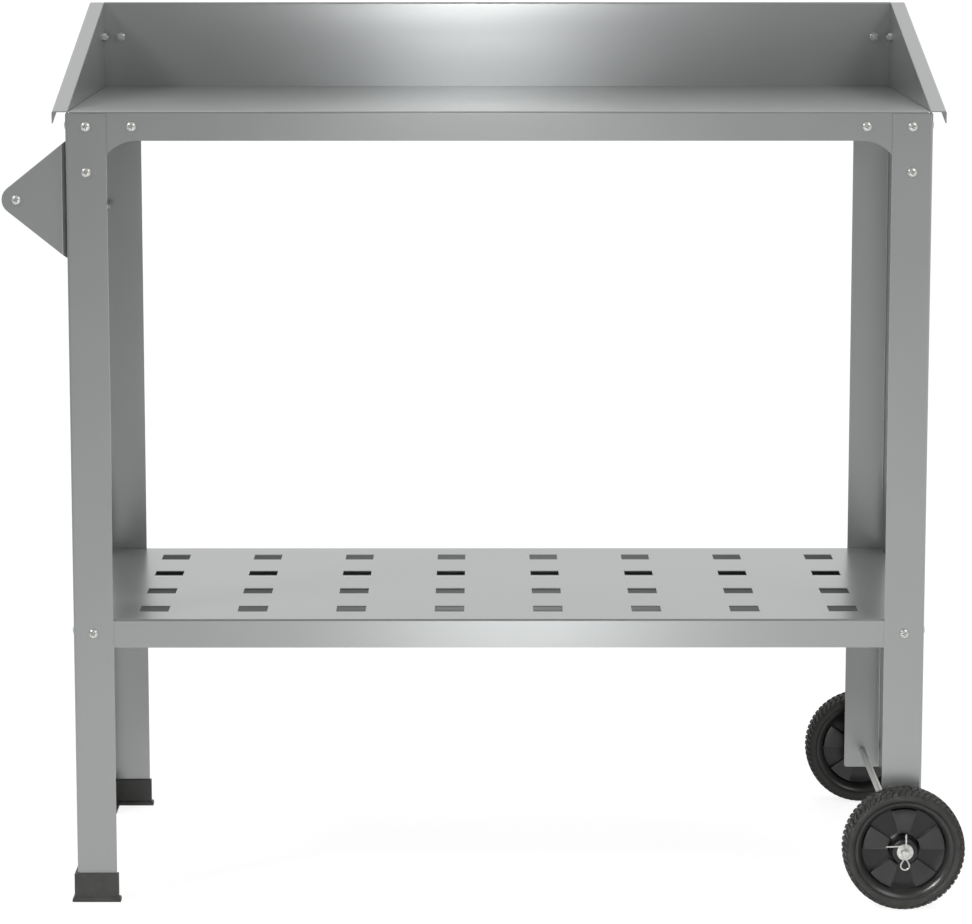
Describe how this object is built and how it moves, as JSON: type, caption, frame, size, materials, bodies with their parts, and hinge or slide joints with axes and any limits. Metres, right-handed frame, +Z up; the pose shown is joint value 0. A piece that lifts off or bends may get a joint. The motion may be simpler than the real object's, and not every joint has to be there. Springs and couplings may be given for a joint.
{
  "type": "potting table",
  "caption": "Galvanised steel potting table with backboard, sloping side panels, slotted lower shelf, push handle, plastic feet and free-turning wheels on an axle.",
  "frame": {"origin": "on the floor, at the centre of the part's bounding box", "axes": "+X along the table from the handle end to the wheel end, +Y from the front to the backboard, +Z up"},
  "size_m": [0.9605, 0.5054, 0.89],
  "materials": {
    "galvanised_sheet": "satin galvanised sheet",
    "zinc_fastener": "bright zinc plating",
    "axle_steel": "drawn zinc-plated rod",
    "foot_plastic": "fine moulded texture",
    "rim_plastic": "moulded, low gloss",
    "tyre_rubber": "matte rubber"
  },
  "bodies": {
    "frame": {"table_top": "galvanised_sheet", "backboard": "galvanised_sheet", "side_panel_left": "galvanised_sheet", "side_panel_right": "galvanised_sheet", "front_left_leg": "galvanised_sheet", "front_right_leg": "galvanised_sheet", "back_left_leg": "galvanised_sheet", "back_right_leg": "galvanised_sheet", "lower_shelf": "galvanised_sheet", "front_left_gusset": "galvanised_sheet", "front_right_gusset": "galvanised_sheet", "handle_bracket_front": "galvanised_sheet", "handle_bracket_back": "galvanised_sheet", "top_stiffener": "galvanised_sheet", "shelf_stiffener": "galvanised_sheet", "handle_tube": "galvanised_sheet", "front_screws": "zinc_fastener", "back_screws": "zinc_fastener", "left_screws": "zinc_fastener", "right_screws": "zinc_fastener", "front_nuts": "zinc_fastener", "back_nuts": "zinc_fastener", "left_nuts": "zinc_fastener", "right_nuts": "zinc_fastener", "handle_screws": "zinc_fastener", "front_split_pin": "zinc_fastener", "back_split_pin": "zinc_fastener", "axle_washers": "zinc_fastener", "front_left_foot": "foot_plastic", "back_left_foot": "foot_plastic", "axle_spacers": "foot_plastic", "handle_end_plugs": "foot_plastic", "axle": "axle_steel"},
    "front_wheel": {"front_wheel_rim": "rim_plastic", "front_wheel_tyre": "tyre_rubber"},
    "back_wheel": {"back_wheel_rim": "rim_plastic", "back_wheel_tyre": "tyre_rubber"}
  },
  "joints": [
    {"name": "front_wheel_spin", "type": "hinge", "parent": "frame", "child": "front_wheel", "pos_m": [0.41875, -0.2232, 0.0615], "axis": [0, 1, 0], "continuous": true},
    {"name": "back_wheel_spin", "type": "hinge", "parent": "frame", "child": "back_wheel", "pos_m": [0.41875, 0.2232, 0.0615], "axis": [0, 1, 0], "continuous": true}
  ]
}
